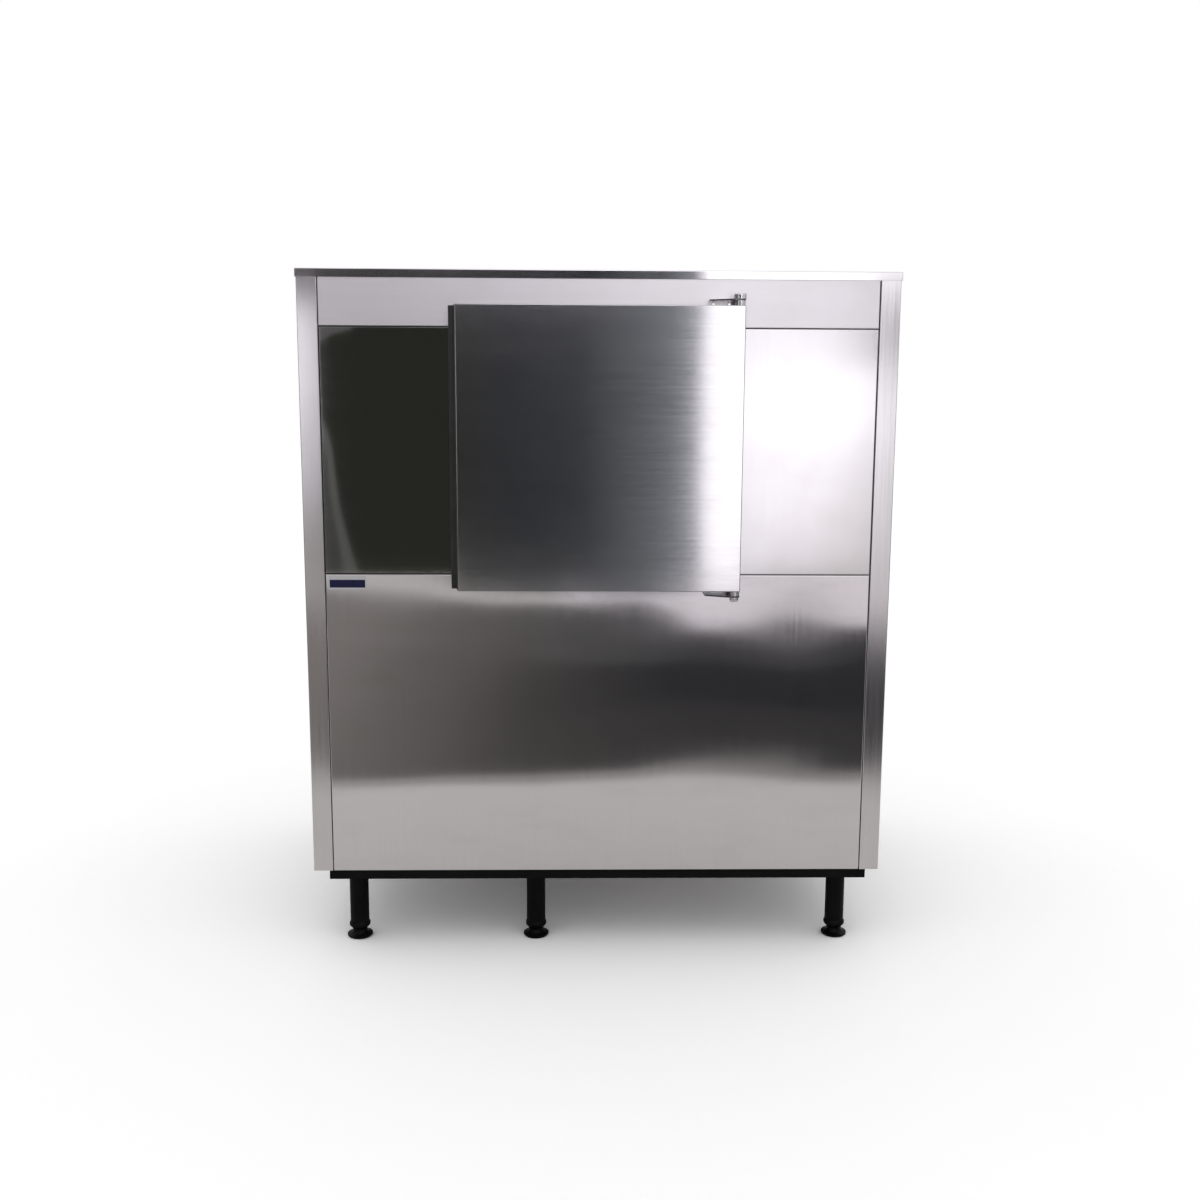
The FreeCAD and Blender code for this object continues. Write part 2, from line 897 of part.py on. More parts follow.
# Bellows gasket: broad foot, narrow waist, broad bulb that meets the cabinet
def door_gasket():
    waist_inset = (gasket_width - gasket_waist) / 2
    foot_top_y = door_back + gasket_base_height
    bulb_end = front - gasket_clearance
    bulb_start = bulb_end - gasket_bulb_height
    ring = gasket_ring(0, gasket_width, door_back, foot_top_y)
    ring = ring.fuse(gasket_ring(waist_inset, gasket_waist, foot_top_y, bulb_start))
    return ring.fuse(gasket_ring(0, gasket_width, bulb_start, bulb_end)).removeSplitter()


def door_pull():
    web_front = door_front + pull_front_inset
    lip_back = door_back - pull_back_inset
    lip_front = lip_back - pull_lip
    path = [
        (-half_door, web_front),
        (-half_door - pull_wall, web_front),
        (-half_door - pull_wall, lip_front),
        (-half_door - pull_reach, lip_front),
        (-half_door - pull_reach, lip_back),
        (-half_door, lip_back),
        (-half_door, web_front),
    ]
    z = door_low + pull_end_gap
    height = door_high - door_low - 2 * pull_end_gap
    shape = Part.Face(Part.makePolygon([V(x, y, z) for x, y in path])).extrude(V(0, 0, height))
    soft = []
    for edge in edges_along(shape, UP):
        out = -half_door - edge.CenterOfMass.x
        if abs(out - pull_reach) < tolerance or abs(out - pull_wall) < tolerance:
            soft.append(edge)
    return shape.makeFillet(pull_round, soft)


def blank_plate():
    x0 = plate_inset - half_panel
    z1 = z_band - seam / 2 - plate_drop
    return rounded_box(
        x0, x0 + plate_width, front - plate_gauge, front, z1 - plate_height, z1, plate_corner, BACKWARD
    )


def build():
    os.makedirs("parts", exist_ok=True)
    left = side_panel_left()
    right = mirror_x(left)
    header = front_pan(-half_panel, half_panel, z_header + seam / 2, z_under)
    lower = front_pan(-half_panel, half_panel, z_base, z_band - seam / 2)
    infill_left = front_pan(-half_panel, -half_sleeve, z_band + seam / 2, z_header - seam / 2)
    infill_right = mirror_x(infill_left)
    bracket_screws = [pan_screw(place, front - bracket_gauge, 1) for place in all_hinge_screw_places()]
    rear_screws = [pan_screw(place, rear, -1) for place in back_screw_places()]
    holes = [screw_hole(place, 1) for place in all_hinge_screw_places()]
    rear_holes = [screw_hole(place, -1) for place in back_screw_places()]
    plates = [backing_plate_upper(), upside_down(backing_plate_upper())]
    inserts = strap_insert_places()
    back = back_panel()
    header = header.cut(holes)
    lower = lower.cut(holes)
    back = back.cut(rear_holes)
    left = left.cut(rear_holes)
    right = right.cut(rear_holes)
    pan = floor_pan()
    frame = doorway_frame()

    set_in = [left, right, header, lower, infill_left, infill_right, pan, frame]
    set_in += plates + holes + rear_holes + seam_voids()
    set_in += [strap_well(place) for place in inserts]
    set_in.append(drain_hole(z_base, liner_bottom))

    for name, blocks in insulation_blocks().items():
        save(name, Part.makeCompound([main_block(block.cut(set_in)) for block in blocks]))
    save("floor_pan", pan)
    save("side_panel_left", left)
    save("side_panel_right", right)
    save("back_panel", back)
    save("top_panel", top_panel())
    save("header_panel", header)
    save("lower_front_panel", lower)
    save("infill_panel_left", infill_left)
    save("infill_panel_right", infill_right)
    wall = liner_wall_left()
    jamb = liner_jamb_left()
    save("liner_floor", liner_floor_tray())
    save("liner_side_walls", Part.makeCompound([wall, mirror_x(wall)]))
    save("liner_back_wall", liner_sheet(liner_back - liner_wall, cove_top, z_under))
    save("liner_front_lower", liner_sheet(liner_front, cove_top, sleeve_low))
    save("liner_front_upper", liner_sheet(liner_front, sleeve_high, z_under))
    save("liner_front_jambs", Part.makeCompound([jamb, mirror_x(jamb)]))
    save("doorway_frame", frame)
    save("drain_fitting", drain_fitting())
    save("drain_locknut", drain_locknut())
    save("drain_strainer", drain_strainer())
    channel = baffle_channel_left()
    save("baffle_channels", Part.makeCompound([channel, mirror_x(channel)]))
    save("ice_baffle", ice_baffle())

    upper = bracket_upper()
    save("hinge_bracket_upper", upper)
    save("hinge_bracket_lower", upside_down(upper))
    save("hinge_pin_upper", hinge_pin_upper())
    save("hinge_pin_lower", hinge_pin_lower())
    bush = bush_upper()
    save("hinge_bushes", Part.makeCompound([bush, upside_down(bush)]))
    save("hinge_backing_plates", Part.makeCompound(plates))
    save("hinge_screws", Part.makeCompound(bracket_screws))
    save("back_panel_screws", Part.makeCompound(rear_screws))
    save("strap_inserts", Part.makeCompound([strap_insert(place) for place in inserts]))
    save("blank_plate", blank_plate())

    save("door_skin", door_skin())
    save("door_insulation", door_insulation())
    save("door_inner_pan", door_inner_pan())
    save("door_gasket", door_gasket())
    save("door_pull", door_pull())

    for name, rail in base_frame().items():
        save(name, rail)
    studs = []
    for row, y in leg_rows.items():
        for place, x in leg_places.items():
            save("leg_" + row + "_" + place, leg(x, y))
            save("foot_" + row + "_" + place, foot(x, y))
            studs.append(leg_stud(x, y))
    save("leg_studs", Part.makeCompound(studs))


build()
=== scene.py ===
import bpy
import math
import numpy as np
from mathutils import Matrix, Vector


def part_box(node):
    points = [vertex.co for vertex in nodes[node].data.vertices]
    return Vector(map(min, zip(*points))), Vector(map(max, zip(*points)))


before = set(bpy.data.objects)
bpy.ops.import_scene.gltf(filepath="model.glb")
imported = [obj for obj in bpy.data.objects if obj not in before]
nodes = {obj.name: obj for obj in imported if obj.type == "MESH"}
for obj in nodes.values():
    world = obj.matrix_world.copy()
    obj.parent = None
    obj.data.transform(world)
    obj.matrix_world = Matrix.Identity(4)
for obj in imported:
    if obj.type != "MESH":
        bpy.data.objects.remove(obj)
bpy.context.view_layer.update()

print("bin loaded:", len(nodes), "nodes")


# small helpers for materials

def newMaterial(name):
    material = bpy.data.materials.new(name)
    material.use_nodes = True
    tree = material.node_tree
    return material, tree, tree.nodes["Principled BSDF"]


def addNode(tree, kind, **settings):
    node = tree.nodes.new(kind)
    for key, value in settings.items():
        setattr(node, key, value)
    return node


def setInputs(node, **values):
    for key, value in values.items():
        node.inputs[key.replace("_", " ")].default_value = value


def objectCoords(tree, scale=(1, 1, 1), location=(0, 0, 0)):
    coords = addNode(tree, "ShaderNodeTexCoord")
    mapping = addNode(tree, "ShaderNodeMapping")
    setInputs(mapping, Scale=scale, Location=location)
    tree.links.new(coords.outputs["Object"], mapping.inputs["Vector"])
    return mapping.outputs["Vector"]


def noise(tree, vector, scale, detail=2.0, roughness=0.5):
    node = addNode(tree, "ShaderNodeTexNoise")
    setInputs(node, Scale=scale, Detail=detail, Roughness=roughness)
    tree.links.new(vector, node.inputs["Vector"])
    return node.outputs["Fac"]


def spread(tree, value, low, high, fromLow=0.0, fromHigh=1.0):
    node = addNode(tree, "ShaderNodeMapRange")
    setInputs(node, From_Min=fromLow, From_Max=fromHigh, To_Min=low, To_Max=high)
    tree.links.new(value, node.inputs["Value"])
    return node.outputs["Result"]


# arithmetic on two values, each a socket or a plain number
def combine(tree, a, b, kind="ADD"):
    node = addNode(tree, "ShaderNodeMath", operation=kind)
    for socket, value in zip(node.inputs, (a, b)):
        if isinstance(value, (int, float)):
            socket.default_value = value
        else:
            tree.links.new(value, socket)
    return node.outputs["Value"]


# from the first colour to the second one; the mix node's colour sockets go by number
def blendColor(tree, factor, first, second):
    node = addNode(tree, "ShaderNodeMix", data_type="RGBA")
    tree.links.new(factor, node.inputs["Factor"])
    for socket, value in zip((node.inputs[6], node.inputs[7]), (first, second)):
        if isinstance(value, tuple):
            socket.default_value = (*value, 1.0)
        else:
            tree.links.new(value, socket)
    return node.outputs[2]


def coordinate(tree, axis):
    coords = addNode(tree, "ShaderNodeTexCoord")
    split = addNode(tree, "ShaderNodeSeparateXYZ")
    tree.links.new(coords.outputs["Object"], split.inputs["Vector"])
    return split.outputs[axis]


# 0 before an upright plane at y, 1 behind it
def behind(tree, y, soft=0.001):
    return spread(tree, coordinate(tree, "Y"), 0.0, 1.0, y - soft, y + soft)


# 1 on level faces at the given heights, 0 away from them
def atHeights(tree, heights, soft=0.0001):
    z = coordinate(tree, "Z")
    near = None
    for height in heights:
        away = combine(tree, combine(tree, z, height, "SUBTRACT"), 0.0, "ABSOLUTE")
        step = spread(tree, away, 1.0, 0.0, 0.0, soft)
        near = step if near is None else combine(tree, near, step, "MAXIMUM")
    return near


def bump(tree, height, distance, below=None):
    node = addNode(tree, "ShaderNodeBump")
    setInputs(node, Strength=1.0, Distance=distance)
    tree.links.new(height, node.inputs["Height"])
    if below is not None:
        tree.links.new(below, node.inputs["Normal"])
    return node.outputs["Normal"]


# detail and roughness of each noise in the steel
steelNoise = {"hair": (3.0, 0.65), "brush": (2.0, 0.6), "streak": (2.0, 0.5), "smudge": (4.0, 0.6),
              "bow": (1.0, 0.4)}
# part that each kind of line has in the shade, and the band of its noise that counts
steelShare = {"hair": (0.3, 0.25, 0.75), "brush": (0.4, 0.3, 0.7), "streak": (0.3, 0.3, 0.7)}


# brushed sheet: hair-fine scratches along the grain, brush lines, broader streaks, faint smudges, slow bow
def brushedSteel(name, s):
    material, tree, shader = newMaterial(name)
    lines, shares = {}, []
    for kind, (share, low, high) in steelShare.items():
        stretch = tuple(s[kind + ("Long" if axis == s["grain"] else "Fine")] for axis in "xyz")
        place = s["place"] if kind == "brush" else (0, 0, 0)
        lines[kind] = noise(tree, objectCoords(tree, stretch, place), 1.0, *steelNoise[kind])
        shares.append(spread(tree, lines[kind], 0.0, share, low, high))
    mark = combine(tree, combine(tree, shares[0], shares[1]), shares[2])
    color = blendColor(tree, mark, s["dark"], s["light"])
    smudgeCoords = objectCoords(tree, s["smudgeStretch"], s["place"])
    smudge = noise(tree, smudgeCoords, s["smudgeScale"], *steelNoise["smudge"])
    stain = spread(tree, smudge, 0.0, s["stained"], *s["smudgeBand"])
    color = blendColor(tree, stain, color, s["stain"])
    if "edge" in s:  # painted shade: the hinge arms' cut edges, in front of the leaves that lie on the panels, are coloured near black
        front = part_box("header_panel")[0].y
        top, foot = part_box("hinge_bracket_upper")[1].z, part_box("hinge_bracket_lower")[0].z
        faces = atHeights(tree, (top, top - s["gauge"], foot, foot + s["gauge"]))
        unshaded = combine(tree, behind(tree, front - s["leaf"]), faces, "MAXIMUM")
        color = blendColor(tree, unshaded, s["edge"], color)
    if "fold" in s:  # painted shade: everything behind the face, from the folded rim back, is coloured darker, to dim the light its bend reflects
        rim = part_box(s["foldOf"])[0].y + s["foldDepth"]
        color = blendColor(tree, behind(tree, rim, s["foldDepth"] / 2), color, s["fold"])
    tree.links.new(color, shader.inputs["Base Color"])
    rough = combine(tree, spread(tree, mark, *s["rough"]), spread(tree, smudge, *s["smudgeRough"]))
    tree.links.new(rough, shader.inputs["Roughness"])
    bow = noise(tree, objectCoords(tree, s["bowStretch"], s["place"]), s["bowScale"], *steelNoise["bow"])
    normal = bump(tree, bow, s["bow"])
    if "lip" in s:  # sheet that leans outwards towards its folded top, as a square of the height
        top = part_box("lower_front_panel")[1].z
        rise = spread(tree, coordinate(tree, "Z"), 0.0, 1.0, top - s["lipLong"], top)
        normal = bump(tree, combine(tree, rise, rise, "MULTIPLY"), s["lip"], normal)
    normal = bump(tree, lines["hair"], s["hairDepth"], normal)
    tree.links.new(normal, shader.inputs["Normal"])
    setInputs(shader, Metallic=1.0, Anisotropic=s["anisotropic"], Anisotropic_Rotation=s["turn"])
    return material


steelBase = {
    "grain": "x", "hairLong": 5.0, "hairFine": 1300.0, "brushLong": 9.0, "brushFine": 380.0,
    "streakLong": 0.6, "streakFine": 160.0, "hairDepth": 0.000006, "place": (0.0, 0.0, 0.0),
    "smudgeScale": 3.5, "smudgeStretch": (1, 1, 1), "smudgeBand": (0.50, 0.75),
    "smudgeRough": (-0.02, 0.03), "bow": 0.0010, "bowScale": 2.2, "bowStretch": (1, 1, 1),
    "dark": (0.565, 0.55, 0.57), "light": (0.665, 0.65, 0.67), "stain": (0.54, 0.51, 0.50), "stained": 0.5,
    "rough": (0.13, 0.18), "anisotropic": 0.85, "turn": 0.25,
}
steelFinishes = {
    # door steel: its fold colour paints shade on the door skin's folded rims
    "doorSteel": {**steelBase, "rough": (0.10, 0.13), "anisotropic": 0.65, "smudgeScale": 16.0,
                  "smudgeStretch": (0.5, 1.0, 2.2), "stain": (0.52, 0.515, 0.53), "stained": 0.25,
                  "fold": (0.31, 0.31, 0.305), "foldDepth": 0.00002, "foldOf": "door_skin"},
    "headerSteel": {**steelBase, "place": (1.7, 0.3, 0.9), "rough": (0.36, 0.44), "anisotropic": 0.5,
                    "dark": (0.600, 0.585, 0.605), "light": (0.640, 0.625, 0.645)},
    "lowerSteel": {**steelBase, "place": (0.4, 2.1, 0.2), "grain": "z", "turn": 0.0,
                   "rough": (0.085, 0.115), "dark": (0.600, 0.585, 0.600), "light": (0.635, 0.620, 0.632),
                   "bow": 0.0075, "bowStretch": (0.8, 1.0, 1.3), "lip": 0.0016, "lipLong": 0.19,
                   "smudgeScale": 14.0, "smudgeStretch": (0.5, 1.0, 1.8), "stain": (0.545, 0.525, 0.510),
                   "stained": 0.4},
    "rightInfillSteel": {**steelBase, "place": (3.1, 0.7, 1.2), "grain": "z", "turn": 0.0,
                         "rough": (0.12, 0.17), "dark": (0.600, 0.585, 0.605),
                         "light": (0.635, 0.620, 0.640)},
    "postSteel": {**steelBase, "grain": "z", "place": (2.2, 1.1, 0.4), "rough": (0.15, 0.20), "turn": 0.0,
                  "anisotropic": 0.4},
    "capSteel": {**steelBase, "place": (0.9, 1.4, 2.6), "rough": (0.05, 0.07), "bow": 0.0},
    "backSteel": {**steelBase, "grain": "z", "place": (5.0, 1.0, 3.0), "turn": 0.0, "rough": (0.30, 0.40)},
    # mirror steel: its fold colour paints shade, near black, on the left panel's folded rims
    "mirrorSteel": {**steelBase, "place": (0.2, 0.5, 4.1), "rough": (0.030, 0.045), "anisotropic": 0.0,
                    "dark": (0.58, 0.58, 0.56), "light": (0.61, 0.61, 0.59), "bow": 0.0005, "bowScale": 1.8,
                    "hairDepth": 0.000002, "fold": (0.05, 0.05, 0.05), "foldDepth": 0.00001,
                    "foldOf": "infill_panel_left"},
    "hardwareSteel": {**steelBase, "place": (7.0, 2.0, 1.0), "hairLong": 60.0, "streakLong": 20.0,
                      "bow": 0.0, "rough": (0.08, 0.16), "anisotropic": 0.2},
    # bracket steel: near-black painted shade on the hinge arms' cut edges
    "bracketSteel": {**steelBase, "place": (6.0, 2.0, 1.0), "hairLong": 60.0, "streakLong": 20.0,
                     "bow": 0.0, "rough": (0.20, 0.30), "anisotropic": 0.0, "edge": (0.09, 0.09, 0.095),
                     "leaf": 0.0035, "gauge": 0.003},
    "zincSteel": {**steelBase, "place": (8.0, 2.0, 1.0), "hairLong": 80.0, "hairFine": 300.0, "bow": 0.0,
                  "dark": (0.42, 0.43, 0.45), "light": (0.58, 0.58, 0.56), "rough": (0.30, 0.45),
                  "anisotropic": 0.0},
}
steel = {name: brushedSteel(name, s) for name, s in steelFinishes.items()}
print("steel finishes:", len(steel))


# moulded or painted surface: mottled colour, orange peel or grain, and scuffed roughness
def mouldedSurface(name, s):
    material, tree, shader = newMaterial(name)
    coords = objectCoords(tree)
    cloud = noise(tree, coords, s["cloudScale"], *s["cloudNoise"])
    grain = noise(tree, coords, s["grainScale"], *s["grainNoise"])
    color = blendColor(tree, spread(tree, cloud, 0.0, 1.0, *s["cloudBand"]), s["dark"], s["light"])
    if "mastic" in s:  # grey mastic closes the seams behind the front panels
        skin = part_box("lower_front_panel")[1].y
        color = blendColor(tree, behind(tree, skin + s["masticDeep"]), s["mastic"], color)
    tree.links.new(color, shader.inputs["Base Color"])
    scuff = spread(tree, grain, -s["scuff"], s["scuff"])
    rough = combine(tree, spread(tree, cloud, *s["rough"], *s["cloudBand"]), scuff)
    tree.links.new(rough, shader.inputs["Roughness"])
    tree.links.new(bump(tree, grain, s["grainDepth"]), shader.inputs["Normal"])
    setInputs(shader, Specular_IOR_Level=s["gloss"], Transmission_Weight=s["clear"])
    return material


# each noise as its detail and roughness
mouldedBase = {"cloudNoise": (4.0, 0.6), "cloudBand": (0.3, 0.7), "grainNoise": (3.0, 0.6), "scuff": 0.03,
               "clear": 0.0}
mouldedFinishes = {
    "blackPaint": {"dark": (0.002, 0.002, 0.0022), "light": (0.005, 0.005, 0.0053), "cloudScale": 9.0,
                   "grainScale": 700.0, "grainDepth": 0.00006, "rough": (0.38, 0.52), "gloss": 0.07},
    "blackPlastic": {"dark": (0.0015, 0.0015, 0.0018), "light": (0.004, 0.004, 0.0045), "cloudScale": 30.0,
                     "grainScale": 1500.0, "grainDepth": 0.00005, "rough": (0.34, 0.48), "gloss": 0.07},
    "pullPlastic": {"dark": (0.012, 0.012, 0.013), "light": (0.024, 0.024, 0.025), "cloudScale": 20.0,
                    "grainScale": 1800.0, "grainDepth": 0.00006, "rough": (0.45, 0.60), "gloss": 0.35},
    "linerPlastic": {"dark": (0.745, 0.755, 0.757), "light": (0.79, 0.80, 0.80), "cloudScale": 5.0,
                     "grainScale": 260.0, "grainDepth": 0.00012, "rough": (0.30, 0.44), "gloss": 0.5},
    "framePlastic": {"dark": (0.715, 0.725, 0.728), "light": (0.755, 0.765, 0.765), "cloudScale": 12.0,
                     "grainScale": 600.0, "grainDepth": 0.00006, "rough": (0.32, 0.46), "gloss": 0.5},
    "foamYellow": {"dark": (0.60, 0.47, 0.24), "light": (0.78, 0.66, 0.40), "cloudScale": 40.0,
                   "grainScale": 900.0, "grainDepth": 0.0005, "rough": (0.80, 0.95), "gloss": 0.2,
                   "mastic": (0.16, 0.15, 0.145), "masticDeep": 0.005},
    "drainGrey": {"dark": (0.16, 0.165, 0.17), "light": (0.24, 0.245, 0.25), "cloudScale": 40.0,
                  "grainScale": 1200.0, "grainDepth": 0.00005, "rough": (0.35, 0.50), "gloss": 0.45},
    "gasketRubber": {"dark": (0.028, 0.028, 0.029), "light": (0.05, 0.05, 0.051), "cloudScale": 25.0,
                     "grainScale": 1400.0, "grainDepth": 0.00008, "rough": (0.55, 0.75), "gloss": 0.35},
    "baffleSheet": {"dark": (0.66, 0.74, 0.77), "light": (0.78, 0.84, 0.86), "cloudScale": 6.0,
                    "grainScale": 500.0, "grainDepth": 0.00004, "rough": (0.12, 0.22), "gloss": 0.5,
                    "clear": 0.45},
}
moulded = {name: mouldedSurface(name, {**mouldedBase, **s}) for name, s in mouldedFinishes.items()}
print("moulded finishes:", len(moulded))


# blank plate: pale film with one plain dark band across its lower part
plateLook = {"pale": (0.44, 0.44, 0.47), "band": (0.008, 0.009, 0.046), "bandFrom": 0.13, "bandTo": 0.74,
             "margin": 0.03, "soft": 0.0006, "gloss": 0.2, "rough": (0.22, 0.36), "shade": 0.9,
             "cloudScale": 60.0, "cloudDetail": 3.0, "grainScale": 900.0, "grainDepth": 0.00003}


def plateFilm(name, s):
    material, tree, shader = newMaterial(name)
    low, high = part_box("blank_plate")
    tall, wide = high.z - low.z, high.x - low.x
    zLow, zHigh = low.z + s["bandFrom"] * tall, low.z + s["bandTo"] * tall
    xLow, xHigh = low.x + s["margin"] * wide, high.x - s["margin"] * wide
    inside = None
    for axis, a, b in (("Z", zLow, zHigh), ("X", xLow, xHigh)):
        rise = spread(tree, coordinate(tree, axis), 0.0, 1.0, a - s["soft"], a + s["soft"])
        fall = spread(tree, coordinate(tree, axis), 1.0, 0.0, b - s["soft"], b + s["soft"])
        step = combine(tree, rise, fall, "MULTIPLY")
        inside = step if inside is None else combine(tree, inside, step, "MULTIPLY")
    cloud = noise(tree, objectCoords(tree), s["cloudScale"], s["cloudDetail"])
    pale = blendColor(tree, cloud, s["pale"], tuple(c * s["shade"] for c in s["pale"]))
    tree.links.new(blendColor(tree, inside, pale, s["band"]), shader.inputs["Base Color"])
    tree.links.new(spread(tree, cloud, *s["rough"]), shader.inputs["Roughness"])
    grain = noise(tree, objectCoords(tree), s["grainScale"])
    tree.links.new(bump(tree, grain, s["grainDepth"]), shader.inputs["Normal"])
    setInputs(shader, Specular_IOR_Level=s["gloss"])
    return material


plate = plateFilm("plateFilm", plateLook)


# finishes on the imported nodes
wears = {
    "door_skin": steel["doorSteel"], "header_panel": steel["headerSteel"],
    "infill_panel_left": steel["mirrorSteel"], "infill_panel_right": steel["rightInfillSteel"],
    "lower_front_panel": steel["lowerSteel"], "top_panel": steel["capSteel"],
    "side_panel_left": steel["postSteel"], "side_panel_right": steel["postSteel"],
    "back_panel": steel["backSteel"], "floor_pan": steel["backSteel"],
    "hinge_bracket_upper": steel["bracketSteel"], "hinge_bracket_lower": steel["bracketSteel"],
    "hinge_pin_upper": steel["hardwareSteel"], "hinge_pin_lower": steel["hardwareSteel"],
    "hinge_screws": steel["hardwareSteel"], "back_panel_screws": steel["hardwareSteel"],
    "drain_strainer": steel["hardwareSteel"], "hinge_backing_plates": steel["zincSteel"],
    "strap_inserts": steel["zincSteel"], "leg_studs": steel["zincSteel"],
    "hinge_bushes": steel["hardwareSteel"], "doorway_frame": moulded["framePlastic"],
    "door_inner_pan": moulded["framePlastic"], "baffle_channels": moulded["framePlastic"],
    "ice_baffle": moulded["baffleSheet"], "drain_fitting": moulded["drainGrey"],
    "drain_locknut": moulded["drainGrey"], "door_gasket": moulded["gasketRubber"],
    "door_pull": moulded["pullPlastic"], "blank_plate": plate,
}
# the rest, by the start of the node's name
families = {"insulation": "foamYellow", "door_insulation": "foamYellow", "liner": "linerPlastic",
            "leg": "blackPlastic", "foot": "blackPlastic", "base": "blackPaint"}
for name, obj in nodes.items():
    finish = wears.get(name)
    if finish is None:
        finish = next(moulded[kind] for start, kind in families.items() if name.startswith(start))
    obj.data.materials.clear()
    obj.data.materials.append(finish)
print("nodes dressed:", len(nodes))


# stage: pale floor, soft boxes and dark cloths that only show in the steel

def card(name, corners, material):
    mesh = bpy.data.meshes.new(name)
    mesh.from_pydata(corners, [], [tuple(range(len(corners)))])
    obj = bpy.data.objects.new(name, mesh)
    bpy.context.scene.collection.objects.link(obj)
    mesh.materials.append(material)
    return obj


def onlyInGloss(obj):
    obj.visible_camera = False
    obj.visible_diffuse = False
    obj.visible_shadow = False
    obj.visible_transmission = False
    return obj


stageLook = {
    "floorColor": (0.76, 0.74, 0.715), "floorSeen": (1.12, 1.12, 1.12), "floorHalf": 30.0,
    "floorRough": 0.9, "floorCloud": 1.3, "floorDetail": 3.0, "floorShade": 0.985,
    "worldColor": (1.0, 1.0, 1.0), "worldLight": 0.95, "worldGloss": (1.10, 1.07, 1.11),
    "cardY": -3.45, "cardGap": 0.002,  # rearmost upright card, and the step to the next one
    "matHalf": 2.4, "matFar": -3.44, "matZ": 0.001,
    "matLayers": {"fringe": 0.015, "matEdge": -0.085, "mat": -0.70},  # lowest first: shift of the near edge
    "wallReach": 4.2, "wallHigh": 4.0, "wallBreak": -0.3,
    "wallStart": -1.8, "wallEnd": 2.2,  # places in X where the walls meet the upright cards
}
# cloths whose shade changes along one axis: place along it and colour there
cloths = {
    "flag": ("X", [(-0.60, (0.030, 0.031, 0.026)), (-0.32, (0.028, 0.031, 0.035)),
                   (0.00, (0.041, 0.045, 0.049)), (0.35, (0.158, 0.176, 0.190)),
                   (0.49, (0.33, 0.345, 0.38))]),
    "flagTop": ("X", [(-1.75, (0.14, 0.137, 0.137)), (-1.20, (0.125, 0.121, 0.122)),
                      (-0.90, (0.085, 0.082, 0.085)), (-0.60, (0.10, 0.097, 0.10)),
                      (-0.32, (0.050, 0.049, 0.052)), (0.00, (0.030, 0.030, 0.032)),
                      (0.35, (0.12, 0.12, 0.13)), (0.49, (0.34, 0.35, 0.39))]),
    "mat": ("X", [(-1.10, (0.265, 0.246, 0.232)), (-0.90, (0.200, 0.187, 0.175)),
                  (-0.25, (0.073, 0.071, 0.067)), (0.35, (0.029, 0.029, 0.033))]),
    "matEdge": ("X", [(-1.10, (0.265, 0.246, 0.232)), (-0.90, (0.200, 0.187, 0.175)),
                      (-0.25, (0.078, 0.076, 0.072)), (0.10, (0.056, 0.055, 0.053)),
                      (0.35, (0.047, 0.046, 0.047))]),
    "skirting": ("X", [(-1.10, (0.270, 0.250, 0.236)), (-0.57, (0.151, 0.143, 0.134)),
                       (0.00, (0.092, 0.092, 0.091)), (0.60, (0.055, 0.055, 0.060))]),
    "fringe": ("X", [(-0.90, (0.42, 0.405, 0.39)), (0.35, (0.30, 0.29, 0.28))]),
    "window": ("Z", [(0.50, (1.90, 1.87, 1.92)), (3.0, (1.90, 1.87, 1.92))]),
    "windowSide": ("Z", [(0.44, (1.32, 1.24, 1.30)), (0.57, (1.55, 1.48, 1.54)),
                         (0.72, (1.78, 1.72, 1.78)), (0.90, (1.92, 1.86, 1.93)),
                         (1.10, (2.35, 2.30, 2.36)), (1.25, (2.30, 2.25, 2.31)),
                         (1.45, (1.85, 1.79, 1.86)), (1.70, (1.90, 1.87, 1.92)),
                         (3.00, (1.90, 1.87, 1.92))]),
    "windowFoot": ("Z", [(0.30, (1.75, 1.71, 1.76)), (0.50, (1.90, 1.87, 1.92))]),
    "ceiling": ("X", [(-1.00, (0.50, 0.48, 0.52)), (-0.70, (1.60, 1.55, 1.65)), (-0.20, (3.75, 3.63, 3.87)),
                      (0.40, (4.20, 4.07, 4.33)), (0.90, (1.50, 1.45, 1.55)), (1.60, (0.90, 0.87, 0.93))]),
    "leftBox": ("Z", [(0.75, (1.15, 1.12, 1.16)), (1.20, (1.98, 1.92, 2.00)), (1.62, (2.20, 2.13, 2.22))]),
    "sill": ("X", [(-0.10, (1.60, 1.53, 1.60)), (0.34, (1.46, 1.39, 1.45)), (0.52, (1.06, 1.01, 1.05)),
                   (1.00, (1.00, 0.94, 0.97))]),
    "drape": ("Z", [(1.72, (0.48, 0.465, 0.485)), (2.60, (0.25, 0.243, 0.257))]),
    "glint": ("Z", [(0.42, (0.125, 0.125, 0.120)), (1.10, (0.150, 0.150, 0.150))]),
    "haze": ("Z", [(0.42, (0.065, 0.065, 0.063)), (1.10, (0.080, 0.080, 0.080))]),
    "corner": ("X", [(-1.17, (0.110, 0.105, 0.110)), (-1.03, (0.160, 0.155, 0.160))]),
    "darkWall": ("Z", [(0.20, (0.05, 0.05, 0.05)), (2.00, (0.10, 0.10, 0.10)), (3.00, (0.80, 0.78, 0.81))]),
    "sideWall": ("Z", [(0.20, (0.22, 0.22, 0.22)), (1.20, (0.48, 0.47, 0.48)), (2.60, (1.15, 1.13, 1.16))]),
}
